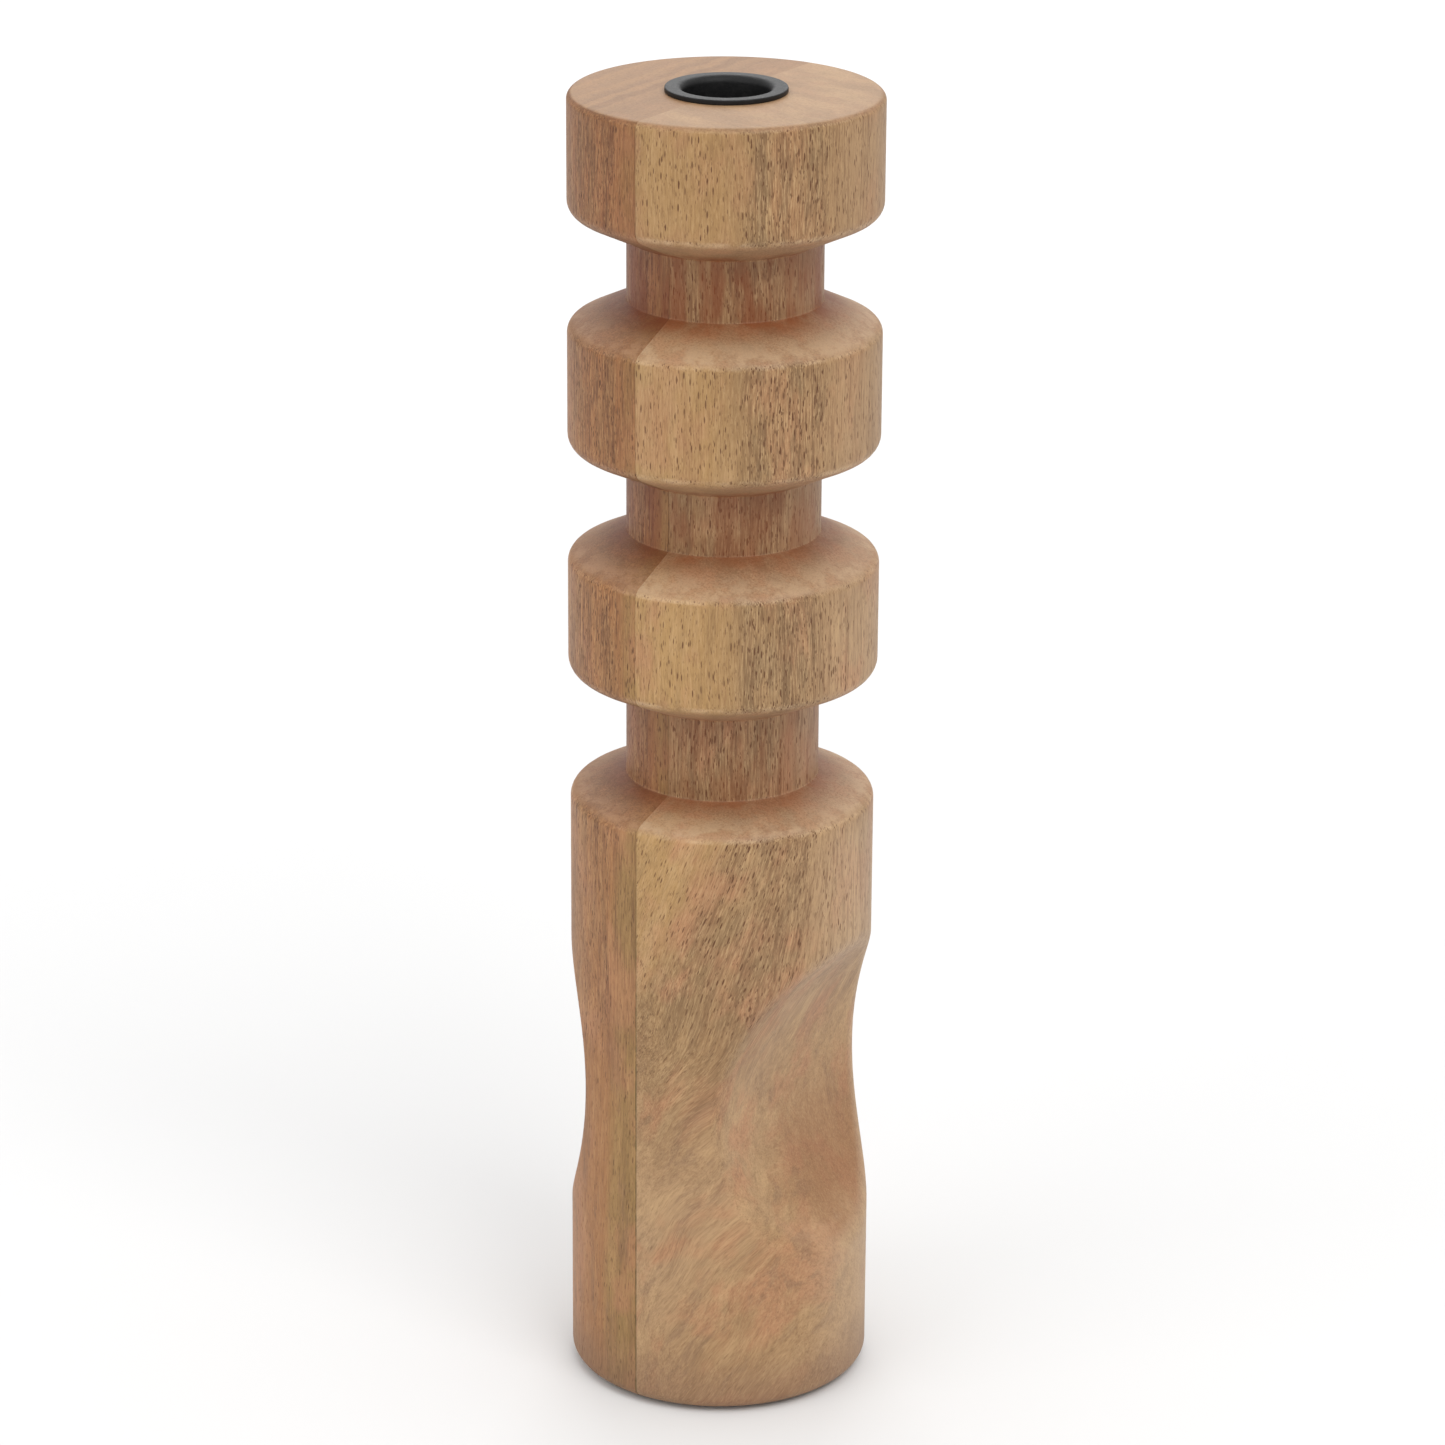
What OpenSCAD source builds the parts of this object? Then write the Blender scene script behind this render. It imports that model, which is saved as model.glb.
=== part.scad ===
// Turned wooden candlestick, about 35 cm tall.
// Two boards are glued face to face, the blank is turned to a base, two discs and a head on
// slender necks, and each side of the base is scooped out to leave a waist. A pressed steel
// cup with a flange holds the candle, one screw holds the cup, and felt pads sit underneath.
// Upright is +Z, the origin is the centre of the footprint on the table, the glue plane is
// X = 0 and the scoops face +X and -X.

/* [Base] */
// Diameter of the base
base_d = 79; // [70:0.5:100]
// Height of the base's straight side, up to its top rim
base_h = 162; // [140:1:200]
// Rise of the base's sloping shoulder, from the rim to the neck
shoulder_rise = 5; // [3:0.5:8]
// Rounding of the base's bottom edge
foot_edge_r = 3.5; // [1:0.5:6]

/* [Scoops] */
// Thickness of the waist left between the two scoops
waist_t = 42.5; // [36:0.5:54]
// Radius of the drum that scoops out each side
scoop_r = 57; // [45:1:75]
// Height of the scoops' middle above the underside of the wood
scoop_z = 83; // [75:1:90]

/* [Discs and head] */
// Diameter of the two discs
disc_d = 80; // [70:0.5:100]
// Height of the lower disc's rim
lower_disc_h = 30; // [20:1:45]
// Height of the upper disc's rim
upper_disc_h = 31; // [20:1:45]
// Diameter of the head
head_d = 80; // [70:0.5:100]
// Height of the head's rim
head_h = 30; // [28:1:45]
// Rise of the sloping faces between a rim and a neck
face_rise = 7; // [3:0.5:10]
// Rounding of the upper rims of the base and the discs
rim_r = 3.2; // [1:0.2:4]
// Rounding of the lower rims of the discs and the head
under_rim_r = 4.2; // [1:0.2:5]
// Rounding of the head's top edge
top_edge_r = 1.8; // [0.4:0.2:3]

/* [Necks] */
// Diameter of the necks
neck_d = 50; // [40:0.5:60]
// Length of the neck between the base and the lower disc
lower_neck_h = 22; // [12:1:40]
// Length of the neck between the two discs
middle_neck_h = 16; // [12:1:40]
// Length of the neck under the head
upper_neck_h = 16; // [12:1:40]
// Radius of the cove where a neck runs into a sloping face
cove_r = 0.6; // [0.4:0.2:3]

/* [Candle cup] */
// Bore of the cup, for a standard dinner candle
cup_bore_d = 22; // [20:0.5:26]
// Wall of the cup's tube and floor
cup_wall = 1; // [0.6:0.1:1.6]
// Depth inside the cup, from the top of the flange to its floor
cup_depth = 24; // [18:1:30]
// Width of the flange, from the bore to its outer edge
flange_w = 4.5; // [3:0.5:7]
// Thickness of the flange
flange_t = 1.3; // [0.8:0.1:2]
// Radius of the flare that leads a candle into the mouth
mouth_flare_r = 1.8; // [0.6:0.2:2.4]
// Gap all round the cup's tube in its socket
cup_gap = 0.15; // [0.05:0.05:0.5]

/* [Cup screw] */
// Diameter of the screw's shank
screw_d = 3.5; // [2.5:0.5:5]
// Length of the screw below its head
screw_l = 16; // [10:1:25]
// Diameter of the screw's pan head
screw_head_d = 7; // [6:0.5:9]
// Height of the screw's pan head
screw_head_h = 2.2; // [1.6:0.1:3]
// Width of the head's cross slots
cross_w = 1; // [0.6:0.1:1.4]
// Gap round the shank in the cup's floor
screw_hole_gap = 0.4; // [0.1:0.1:0.8]
// Gap round the shank in the wood's pilot hole
pilot_gap = 0.05; // [0.02:0.01:0.1]

/* [Felt pads] */
// Diameter of each felt pad
pad_d = 14; // [8:1:20]
// Thickness of each felt pad
pad_t = 1; // [0.6:0.2:3]
// Gap between the pads and the rounding of the bottom edge
pad_inset = 3; // [1:0.5:8]

/* [Hidden] */
$fn = 96;
// how much a cutter runs past the face it cuts
over = 1;
// largest turn of one straight step in a rounded corner, in degrees
corner_step = 15;
sharp = 0;

// radii of the turned shape
base_r = base_d / 2;
disc_r = disc_d / 2;
head_r = head_d / 2;
neck_r = neck_d / 2;
widest_r = max(base_r, disc_r, head_r);

// heights of the turned shape, from the table up
wood_z0 = pad_t;
base_rim_z = wood_z0 + base_h;
base_top_z = base_rim_z + shoulder_rise;
lower_disc_z = base_top_z + lower_neck_h;
lower_rim_z0 = lower_disc_z + face_rise;
lower_rim_z1 = lower_rim_z0 + lower_disc_h;
lower_top_z = lower_rim_z1 + face_rise;
upper_disc_z = lower_top_z + middle_neck_h;
upper_rim_z0 = upper_disc_z + face_rise;
upper_rim_z1 = upper_rim_z0 + upper_disc_h;
upper_top_z = upper_rim_z1 + face_rise;
head_z = upper_top_z + upper_neck_h;
head_rim_z = head_z + face_rise;
wood_top_z = head_rim_z + head_h;

// candle cup: the flange sits on the wood and the tube hangs in its socket
cup_bore_r = cup_bore_d / 2;
tube_r = cup_bore_r + cup_wall;
flange_r = cup_bore_r + flange_w;
cup_top_z = wood_top_z + flange_t;
cup_floor_z = cup_top_z - cup_depth;
cup_under_z = cup_floor_z - cup_wall;
// the floor's corner ends just above the screw's head, so the straight bore is clear of it
floor_corner_r = screw_head_h + 0.2;
flange_edge_r = min(0.5, flange_t / 3);
flange_lip_r = min(0.3, flange_t / 4);
socket_r = tube_r + cup_gap;
socket_spare = 0.5;

// cup screw: the head sits on the cup's floor
shank_r = screw_d / 2;
screw_tip_l = screw_d;
screw_end_z = cup_floor_z - screw_l;
screw_top_z = cup_floor_z + screw_head_h;
head_crown_r = screw_head_h * 0.6;
cross_depth = screw_head_h * 0.5;
cross_l = screw_head_d * 0.6;
floor_hole_r = shank_r + screw_hole_gap;
pilot_r = shank_r + pilot_gap;
pilot_spare = 1;

// felt pads: their centres lie on a ring just inside the bottom edge's rounding
pad_ring_r = base_r - foot_edge_r - pad_inset - pad_d / 2;

function unit(v) = v / norm(v);

// points of the arc that rounds the corner at b, on the way from a to c
function corner(a, b, c, r) =
    let (
        u = unit(a - b),
        v = unit(c - b),
        half = acos(u * v) / 2,
        middle = b + unit(u + v) * r / sin(half),
        p = b + u * r / tan(half) - middle,
        q = b + v * r / tan(half) - middle,
        start = atan2(p.y, p.x),
        gap = atan2(q.y, q.x) - start,
        turn = gap > 180 ? gap - 360 : gap < -180 ? gap + 360 : gap,
        steps = ceil(abs(turn) / corner_step)
    )
    [for (i = [0:steps]) middle + r * [cos(start + turn * i / steps), sin(start + turn * i / steps)]];

// outline from a list of [radius, height, rounding], with every corner rounded as it says
function outline(marks) =
    let (count = len(marks))
    [
        for (i = [0:count - 1])
            let (
                a = marks[(i + count - 1) % count],
                b = marks[i],
                c = marks[(i + 1) % count]
            )
            each b.z == sharp
                ? [[b.x, b.y]]
                : corner([a.x, a.y], [b.x, b.y], [c.x, c.y], b.z)
    ];

// a solid of revolution about Z
module turned(marks) {
    rotate_extrude() polygon(outline(marks));
}

// the turned blank, as it leaves the lathe
module turned_blank() {
    turned([
        [0, wood_z0, sharp],
        [base_r, wood_z0, foot_edge_r],
        [base_r, base_rim_z, rim_r],
        [neck_r, base_top_z, cove_r],
        [neck_r, lower_disc_z, cove_r],
        [disc_r, lower_rim_z0, under_rim_r],
        [disc_r, lower_rim_z1, rim_r],
        [neck_r, lower_top_z, cove_r],
        [neck_r, upper_disc_z, cove_r],
        [disc_r, upper_rim_z0, under_rim_r],
        [disc_r, upper_rim_z1, rim_r],
        [neck_r, upper_top_z, cove_r],
        [neck_r, head_z, cove_r],
        [head_r, head_rim_z, under_rim_r],
        [head_r, wood_top_z, top_edge_r],
        [0, wood_top_z, sharp]
    ]);
}

// the drum that scoops out the +X side of the base
module scoop_drum() {
    translate([waist_t / 2 + scoop_r, 0, wood_z0 + scoop_z])
        rotate([90, 0, 0])
            cylinder(r = scoop_r, h = 2 * widest_r + 2 * over, center = true, $fn = 160);
}

// the drilled socket for the cup, with the pilot hole for its screw below
module cup_socket() {
    translate([0, 0, cup_under_z - socket_spare])
        cylinder(r = socket_r, h = wood_top_z - cup_under_z + socket_spare + over);
    translate([0, 0, screw_end_z - pilot_spare])
        cylinder(r = pilot_r, h = cup_under_z - screw_end_z + pilot_spare, $fn = 32);
}

// the +X board, cut off at the glue plane
module board() {
    difference() {
        turned_blank();
        scoop_drum();
        cup_socket();
        translate([-widest_r - over, -widest_r - over, -over])
            cube([widest_r + over, 2 * (widest_r + over), cup_top_z + 2 * over]);
    }
}

module left_half() {
    color("rosybrown") mirror([1, 0, 0]) board();
}

module right_half() {
    color("burlywood") board();
}

// pressed steel cup: flange, flared mouth, straight tube and flat floor
module candle_cup() {
    color("#262626") difference() {
        turned([
            [0, cup_floor_z, sharp],
            [cup_bore_r, cup_floor_z, floor_corner_r],
            [cup_bore_r, cup_top_z, mouth_flare_r],
            [flange_r, cup_top_z, flange_edge_r],
            [flange_r, wood_top_z, flange_lip_r],
            [tube_r, wood_top_z, sharp],
            [tube_r, cup_under_z, floor_corner_r + cup_wall],
            [0, cup_under_z, sharp]
        ]);
        translate([0, 0, cup_under_z - over])
            cylinder(r = floor_hole_r, h = cup_wall + 2 * over, $fn = 32);
    }
}

// pan head screw with a cross recess
module cup_screw() {
    color("silver") difference() {
        turned([
            [0, screw_end_z, sharp],
            [shank_r, screw_end_z + screw_tip_l, sharp],
            [shank_r, cup_floor_z, sharp],
            [screw_head_d / 2, cup_floor_z, sharp],
            [screw_head_d / 2, screw_top_z, head_crown_r],
            [0, screw_top_z, sharp]
        ]);
        for (turn = [0, 90])
            rotate([0, 0, turn])
                translate([-cross_l / 2, -cross_w / 2, screw_top_z - cross_depth])
                    cube([cross_l, cross_w, cross_depth + over]);
    }
}

// one felt pad, stuck on between the glue line and the base's outer edge
module felt_pad(place) {
    color("dimgray")
        rotate([0, 0, 90 * place - 45])
            translate([pad_ring_r, 0, 0])
                cylinder(d = pad_d, h = pad_t, $fn = 48);
}

left_half();
right_half();
candle_cup();
cup_screw();
felt_pad(1);  // felt_pad_1
felt_pad(2);  // felt_pad_2
felt_pad(3);  // felt_pad_3
felt_pad(4);  // felt_pad_4
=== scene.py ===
# %% [markdown]
# # A turned wooden candlestick
# This lesson dresses a candlestick in Blender. Its sizes were settled in a CAD model, which is
# loaded first and stays as it is. The wood, the black candle cup, its screw and the felt pads
# are then built as fine meshes in the same places, each with a finish made from nodes.

# %% Load the fixed frame
import math

import bmesh
import bpy
import numpy as np
from mathutils import Matrix, Vector


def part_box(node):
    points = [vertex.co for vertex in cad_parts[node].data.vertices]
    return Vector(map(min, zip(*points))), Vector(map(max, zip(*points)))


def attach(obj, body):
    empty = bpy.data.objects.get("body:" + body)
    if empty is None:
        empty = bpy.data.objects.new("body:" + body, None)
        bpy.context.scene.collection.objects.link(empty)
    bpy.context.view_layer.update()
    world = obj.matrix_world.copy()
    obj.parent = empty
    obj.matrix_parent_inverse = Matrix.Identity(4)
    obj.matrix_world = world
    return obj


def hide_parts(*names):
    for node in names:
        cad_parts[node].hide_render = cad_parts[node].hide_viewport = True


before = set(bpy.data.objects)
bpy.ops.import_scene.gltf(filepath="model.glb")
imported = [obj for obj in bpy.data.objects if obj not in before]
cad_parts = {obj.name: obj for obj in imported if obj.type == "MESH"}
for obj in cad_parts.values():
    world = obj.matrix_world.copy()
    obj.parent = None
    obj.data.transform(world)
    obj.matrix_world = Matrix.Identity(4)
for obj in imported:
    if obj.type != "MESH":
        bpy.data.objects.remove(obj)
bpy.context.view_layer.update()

MM = 0.001
print("nodes:", sorted(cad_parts))

# %% [markdown]
# ## The sizes that the lathe hand works to
# A turner marks the blank with a few heights and diameters. The boxes of the CAD parts give the
# underside, the top, the widest radius and the cup's sizes. The heights in between are written
# once here, in millimetres, and the last line shows that they end where the CAD part ends.

# %% Sizes of the turned body, in millimetres
board_low, board_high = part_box("right_half")
WOOD_Z0 = board_low.z / MM
WOOD_TOP = board_high.z / MM
DISC_R = board_high.y / MM
BASE_R = 39.5
HEAD_R = DISC_R
NECK_R = 25.0
BASE_H = 162.0
SHOULDER_RISE = 5.0
FACE_RISE = 7.0
LOWER_NECK_H = 22.0
MIDDLE_NECK_H = 16.0
UPPER_NECK_H = 16.0
LOWER_DISC_H = 30.0
UPPER_DISC_H = 31.0
HEAD_H = 30.0
FOOT_EDGE_R = 3.5
RIM_R = 3.2
UNDER_RIM_R = 4.2
TOP_EDGE_R = 1.8
COVE_R = 0.6

base_rim = WOOD_Z0 + BASE_H
base_top = base_rim + SHOULDER_RISE
lower_disc = base_top + LOWER_NECK_H
lower_rim = lower_disc + FACE_RISE
lower_rim_top = lower_rim + LOWER_DISC_H
lower_top = lower_rim_top + FACE_RISE
upper_disc = lower_top + MIDDLE_NECK_H
upper_rim = upper_disc + FACE_RISE
upper_rim_top = upper_rim + UPPER_DISC_H
upper_top = upper_rim_top + FACE_RISE
head_under = upper_top + UPPER_NECK_H
head_rim = head_under + FACE_RISE
print("top of the wood:", head_rim + HEAD_H, "CAD says", round(WOOD_TOP, 2))

# %% Sizes of the scoops, the cup's socket and the glue line, in millimetres
SCOOP_R = 57.0
WAIST_T = 42.5
SCOOP_Z = WOOD_Z0 + 83.0
LIP_SOFTNESS = 4.0
SEAM_EASE = 0.08
SEAM_EASE_WIDTH = 0.16

cup_low, cup_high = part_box("candle_cup")
screw_low, screw_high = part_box("cup_screw")
CUP_GAP = 0.15
CUP_WALL = 1.0
CUP_BORE_R = 11.0
CUP_UNDER = cup_low.z / MM
CUP_TOP = cup_high.z / MM
FLANGE_R = cup_high.x / MM
SOCKET_R = CUP_BORE_R + CUP_WALL + CUP_GAP
SOCKET_FLOOR = CUP_UNDER - 0.5
PILOT_R = 1.8
PILOT_FLOOR = screw_low.z / MM - 1.0
print("flange radius:", round(FLANGE_R, 2), "cup depth:", round(CUP_TOP - CUP_UNDER, 2))

# %% [markdown]
# ## From marks to an outline
# A turned shape is an outline spun about the axis. Each mark is a radius, a height and the
# rounding that sandpaper leaves there. A helper swaps each rounded mark for points on its arc,
# and another adds points along the straight runs, because the wood needs an even, fine mesh for
# the scoops to cut cleanly across it.

# %% Outline helpers
def arc_points(a, b, c, radius, degrees):
    """Points of the arc that rounds corner b, on the way from a to c."""
    a, b, c = (np.array(p, float) for p in (a, b, c))
    to_a = (a - b) / np.linalg.norm(a - b)
    to_c = (c - b) / np.linalg.norm(c - b)
    half = math.acos(np.clip(to_a @ to_c, -1, 1)) / 2
    reach = radius / math.tan(half)
    inward = to_a + to_c
    middle = b + inward / np.linalg.norm(inward) * radius / math.sin(half)
    start = b + to_a * reach - middle
    end = b + to_c * reach - middle
    turn = math.atan2(start[0] * end[1] - start[1] * end[0], start @ end)
    steps = max(2, math.ceil(abs(math.degrees(turn)) / degrees))
    points = []
    for i in range(steps + 1):
        t = turn * i / steps
        spun = (start[0] * math.cos(t) - start[1] * math.sin(t),
                start[0] * math.sin(t) + start[1] * math.cos(t))
        points.append((middle[0] + spun[0], middle[1] + spun[1]))
    return points


def outline(marks, degrees=12.0):
    """The points of an outline, from marks of (radius, height, rounding)."""
    points = []
    for i, (r, z, rounding) in enumerate(marks):
        if rounding and 0 < i < len(marks) - 1:
            points += arc_points(marks[i - 1][:2], (r, z), marks[i + 1][:2], rounding, degrees)
        else:
            points.append((r, z))
    return points


def even_steps(points, step):
    """The same outline with no stretch longer than step."""
    fine = [points[0]]
    for (r0, z0), (r1, z1) in zip(points[:-1], points[1:]):
        count = max(1, math.ceil(math.hypot(r1 - r0, z1 - z0) / step))
        for k in range(1, count + 1):
            fine.append((r0 + (r1 - r0) * k / count, z0 + (z1 - z0) * k / count))
    return fine

# %% [markdown]
# ## The body: two boards, turned as one
# The real body is glued up from two boards, then turned, so the grain and the glue line run
# through base, necks, discs and head without a break. Each board is half of the spun outline,
# closed by a flat glue face. The scoops are cut by a drum lying across the base: at each height
# the drum leaves a flat chord, and a point on the spun surface is pulled in to it. A soft
# minimum of the two surfaces gives the sanded lip. A boolean would give the same shape with a
# knife-sharp lip and untidy triangles, so the surface is computed instead.

# %% Outline of the turned body, with the socket and the pilot hole
body_marks = [
    (0.0, WOOD_Z0, 0),
    (BASE_R, WOOD_Z0, FOOT_EDGE_R),
    (BASE_R, base_rim, RIM_R),
    (NECK_R, base_top, COVE_R),
    (NECK_R, lower_disc, COVE_R),
    (DISC_R, lower_rim, UNDER_RIM_R),
    (DISC_R, lower_rim_top, RIM_R),
    (NECK_R, lower_top, COVE_R),
    (NECK_R, upper_disc, COVE_R),
    (DISC_R, upper_rim, UNDER_RIM_R),
    (DISC_R, upper_rim_top, RIM_R),
    (NECK_R, upper_top, COVE_R),
    (NECK_R, head_under, COVE_R),
    (HEAD_R, head_rim, UNDER_RIM_R),
    (HEAD_R, WOOD_TOP, TOP_EDGE_R),
    (SOCKET_R, WOOD_TOP, 0),
    (SOCKET_R, SOCKET_FLOOR, 0),
    (PILOT_R, SOCKET_FLOOR, 0),
    (PILOT_R, PILOT_FLOOR, 0),
    (0.0, PILOT_FLOOR, 0),
]
body_outline = even_steps(outline(body_marks), 1.1)
print("outline points:", len(body_outline))

# %% A mesh from points in millimetres
def new_mesh(name, points, faces):
    mesh = bpy.data.meshes.new(name)
    mesh.from_pydata([tuple(c * MM for c in p) for p in points], [], faces)
    return mesh

# %% The scooped, softened radius
def soft_min(a, b, softness):
    """The smaller of two distances, with the crease between them rounded off."""
    near = np.clip(1 - np.abs(a - b) / softness, 0, None)
    return np.minimum(a, b) - near * near * softness / 4


def scooped_radius(r, z, angle):
    """Radius of the wood at a height and an angle from +X, once the drum has cut it."""
    rise = np.clip(SCOOP_R ** 2 - (z - SCOOP_Z) ** 2, 0, None)
    chord = np.where(rise > 0, WAIST_T / 2 + SCOOP_R - np.sqrt(rise), 10 * BASE_R)
    facing = np.clip(np.cos(angle), 1e-4, None)
    return soft_min(r, chord / facing, LIP_SOFTNESS)

# %% Build a board
ARC_STEP = 1.25
board_angles = np.radians(np.arange(-90, 90 + ARC_STEP / 2, ARC_STEP))
seam_angle = SEAM_EASE_WIDTH / DISC_R
board_angles = np.insert(board_angles, [1, len(board_angles) - 1],
                         [-math.pi / 2 + seam_angle, math.pi / 2 - seam_angle])


def sheet_faces(rows, cols):
    """Faces between the neighbouring points of a sheet of rows and columns."""
    return [(a, a + 1, a + 1 + cols, a + cols)
            for i in range(rows - 1) for a in range(i * cols, i * cols + cols - 1)]


def board_mesh(name, side):
    """One board: side is 1 for the +X board and -1 for the other."""
    points = np.array(body_outline)
    inner = points[1:-1]
    radius = inner[:, 0:1] + 0 * board_angles[None, :]
    height = inner[:, 1:2] + 0 * board_angles[None, :]
    angle = board_angles[None, :] + 0 * radius
    is_outside = (inner[:, 1:2] < base_top) & (inner[:, 0:1] > NECK_R - 1)
    radius = np.where(is_outside, scooped_radius(radius, height, angle), radius)
    outside = radius > SOCKET_R + 0.01
    at_seam = (np.abs(np.abs(angle) - math.pi / 2) < 1e-6) & outside
    radius = radius - np.where(at_seam, SEAM_EASE, 0)
    x = radius * np.cos(angle) * side
    y = radius * np.sin(angle)
    x[:, 0] = 0
    x[:, -1] = 0
    verts = np.stack([x, y, height], -1).reshape(-1, 3)
    rows, cols = radius.shape
    first = len(verts)
    verts = np.vstack([verts, [[0, 0, points[0, 1]], [0, 0, points[-1, 1]]]])
    faces = sheet_faces(rows, cols)
    last_row = (rows - 1) * cols
    for j in range(cols - 1):
        faces.append((first, j + 1, j))
        faces.append((first + 1, last_row + j, last_row + j + 1))
    glue = [first] + [i * cols for i in range(rows)] + [first + 1]
    glue += [i * cols + cols - 1 for i in reversed(range(rows))]
    faces.append(tuple(glue))
    if side < 0:
        faces = [tuple(reversed(f)) for f in faces]
    return new_mesh(name, verts.tolist(), faces)

# %% Finish and register a piece
SHARP_ANGLE = math.radians(38)


def place(mesh, node, material):
    """Turns a mesh into a piece that stands for a CAD node."""
    work = bmesh.new()
    work.from_mesh(mesh)
    big = [f for f in work.faces if len(f.verts) > 4]
    bmesh.ops.triangulate(work, faces=big, ngon_method="BEAUTY")
    bmesh.ops.recalc_face_normals(work, faces=work.faces)
    open_edges = sum(1 for e in work.edges if not e.is_manifold)
    volume = work.calc_volume()
    work.to_mesh(mesh)
    work.free()
    mesh.shade_smooth()
    mesh.set_sharp_from_angle(angle=SHARP_ANGLE)
    piece = bpy.data.objects.new(mesh.name, mesh)
    bpy.context.scene.collection.objects.link(piece)
    mesh.materials.append(material)
    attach(piece, "root")
    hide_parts(node)
    print(f"{mesh.name}: {len(mesh.polygons)} faces, {open_edges} open edges, "
          f"{volume * 1e6:.1f} cm3")

# %% [markdown]
# ## Writing node materials as sums
# A finish is a chain of nodes. Wiring them one by one hides the idea, so one small class wraps
# an output socket and lets Python's own operators add the Math nodes. Everything else, such as
# a noise or a ramp, comes from one method that takes the node's type, its settings and the
# values of its sockets.

# %% The Wire class
class Wire:
    """An output socket of a finish, usable in Python sums."""

    def __init__(self, finish, socket):
        self.finish = finish
        self.socket = socket

    def sibling(self, name):
        """Another output of the same node."""
        return Wire(self.finish, self.socket.node.outputs[name])

    def math(self, operation, *values):
        return self.finish.add("Math", {"operation": operation}, dict(enumerate(values)))

    def __add__(self, other):
        return self.math("ADD", self, other)

    def __sub__(self, other):
        return self.math("SUBTRACT", self, other)

    def __mul__(self, other):
        return self.math("MULTIPLY", self, other)

    def __truediv__(self, other):
        return self.math("DIVIDE", self, other)

    def __rsub__(self, other):
        return self.math("SUBTRACT", other, self)

    def __abs__(self):
        return self.math("ABSOLUTE", self)

    __radd__ = __add__
    __rmul__ = __mul__

    def smooth(self, start, end):
        """0 below start, 1 above end, with a soft step between."""
        settings = {"interpolation_type": "SMOOTHSTEP"}
        values = {"Value": self, "From Min": start, "From Max": end}
        return self.finish.add("MapRange", settings, values)

    def fade(self, start, end):
        """1 below start, 0 above end, with a soft step between."""
        return 1 - self.smooth(start, end)

    def clamp(self, lowest, highest):
        return self.math("MINIMUM", self.math("MAXIMUM", self, lowest), highest)

# %% The Finish class
class Finish:
    """A node material, built from expressions."""

    def __init__(self, name):
        self.material = bpy.data.materials.new(name)
        self.material.use_nodes = True
        self.tree = self.material.node_tree
        self.shader = self.tree.nodes["Principled BSDF"]

    def add(self, kind, settings=None, values=None, output=0):
        """A node of one kind, its settings made first, and then its sockets filled."""
        node = self.tree.nodes.new("ShaderNode" + kind)
        for key, value in (settings or {}).items():
            if key == "stops":
                self.set_stops(node.color_ramp, value)
            else:
                setattr(node, key, value)
        for key, value in (values or {}).items():
            self.fill(node.inputs[key], value)
        return Wire(self, node.outputs[output])

    def fill(self, socket, value):
        if isinstance(value, Wire):
            self.tree.links.new(value.socket, socket)
        else:
            socket.default_value = value

    def set_stops(self, ramp, stops):
        while len(ramp.elements) < len(stops):
            ramp.elements.new(0.5)
        for element, (position, color) in zip(ramp.elements, stops):
            element.position = position
            element.color = color

    def vector(self, operation, a, b):
        """A Vector Math node on two vectors, or on a vector and a number for SCALE."""
        keys = (0, "Scale") if operation == "SCALE" else (0, 1)
        return self.add("VectorMath", {"operation": operation}, dict(zip(keys, (a, b))))

    def parts(self, vector):
        """The three numbers of a vector."""
        first = self.add("SeparateXYZ", None, {0: vector})
        return [first, first.sibling("Y"), first.sibling("Z")]

    def point(self):
        """The point of the object, in millimetres."""
        return self.vector("SCALE", self.add("TexCoord", None, None, 3), 1 / MM)

    def join(self, x, y, z):
        return self.add("CombineXYZ", None, {0: x, 1: y, 2: z})

    def noise(self, where, detail=2.0, roughness=0.5, output=0):
        values = {"Vector": where, "Scale": 1.0, "Detail": detail, "Roughness": roughness}
        return self.add("TexNoise", None, values, output)

    def blend(self, amount, a, b):
        """Colour a turning into colour b as amount goes from 0 to 1."""
        return self.add("Mix", {"data_type": "RGBA"}, {0: amount, 6: a, 7: b}, 2)

    def ramp(self, amount, stops):
        return self.add("ValToRGB", {"stops": stops}, {0: amount})

    def bump(self, height, strength, distance):
        values = {"Height": height, "Strength": strength, "Distance": distance}
        return self.add("Bump", None, values)

    def surface(self, **values):
        """Fills the shader's sockets: keys are socket names with _ for a space."""
        for key, value in values.items():
            self.fill(self.shader.inputs[key.replace("_", " ")], value)

# %% Colours for the nodes
def paint(red, green, blue):
    """A colour from 0 to 255 a part, as a screen shows it, in the linear values of nodes."""
    linear = []
    for v in (red, green, blue):
        s = v / 255
        linear.append(s / 12.92 if s <= 0.04045 else ((s + 0.055) / 1.055) ** 2.4)
    return (*linear, 1.0)

# %% [markdown]
# ## The wood
# The timber is a warm tropical hardwood: broad bands of growth, from yellow tan to a dusky
# brown, and long open pores that show as dark dashes along the grain. The finish is a solid
# texture: colour belongs to points inside the wood, so cutting a disc, a cone or a scoop shows
# the same band from another side, as it does on the lathe. A picture of wood wrapped round the
# body would smear on the cones and break at the glue line.
#
# First comes the grain's flow. The figure leans in the base and sways in slow waves, because the
# tree grew so. Every point is moved back to where it would lie in straight timber, and all the
# patterns below are made there.

# %% Directions in the timber, in millimetres
FRONT_TURN = math.radians(33.7)
along_front = (math.cos(FRONT_TURN), math.sin(FRONT_TURN), 0.0)
LAYER_TURN = math.radians(13.0)
layer_normal = (math.sin(LAYER_TURN), math.cos(LAYER_TURN), 0.0)
LEAN_KNEE = 104.0

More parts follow.
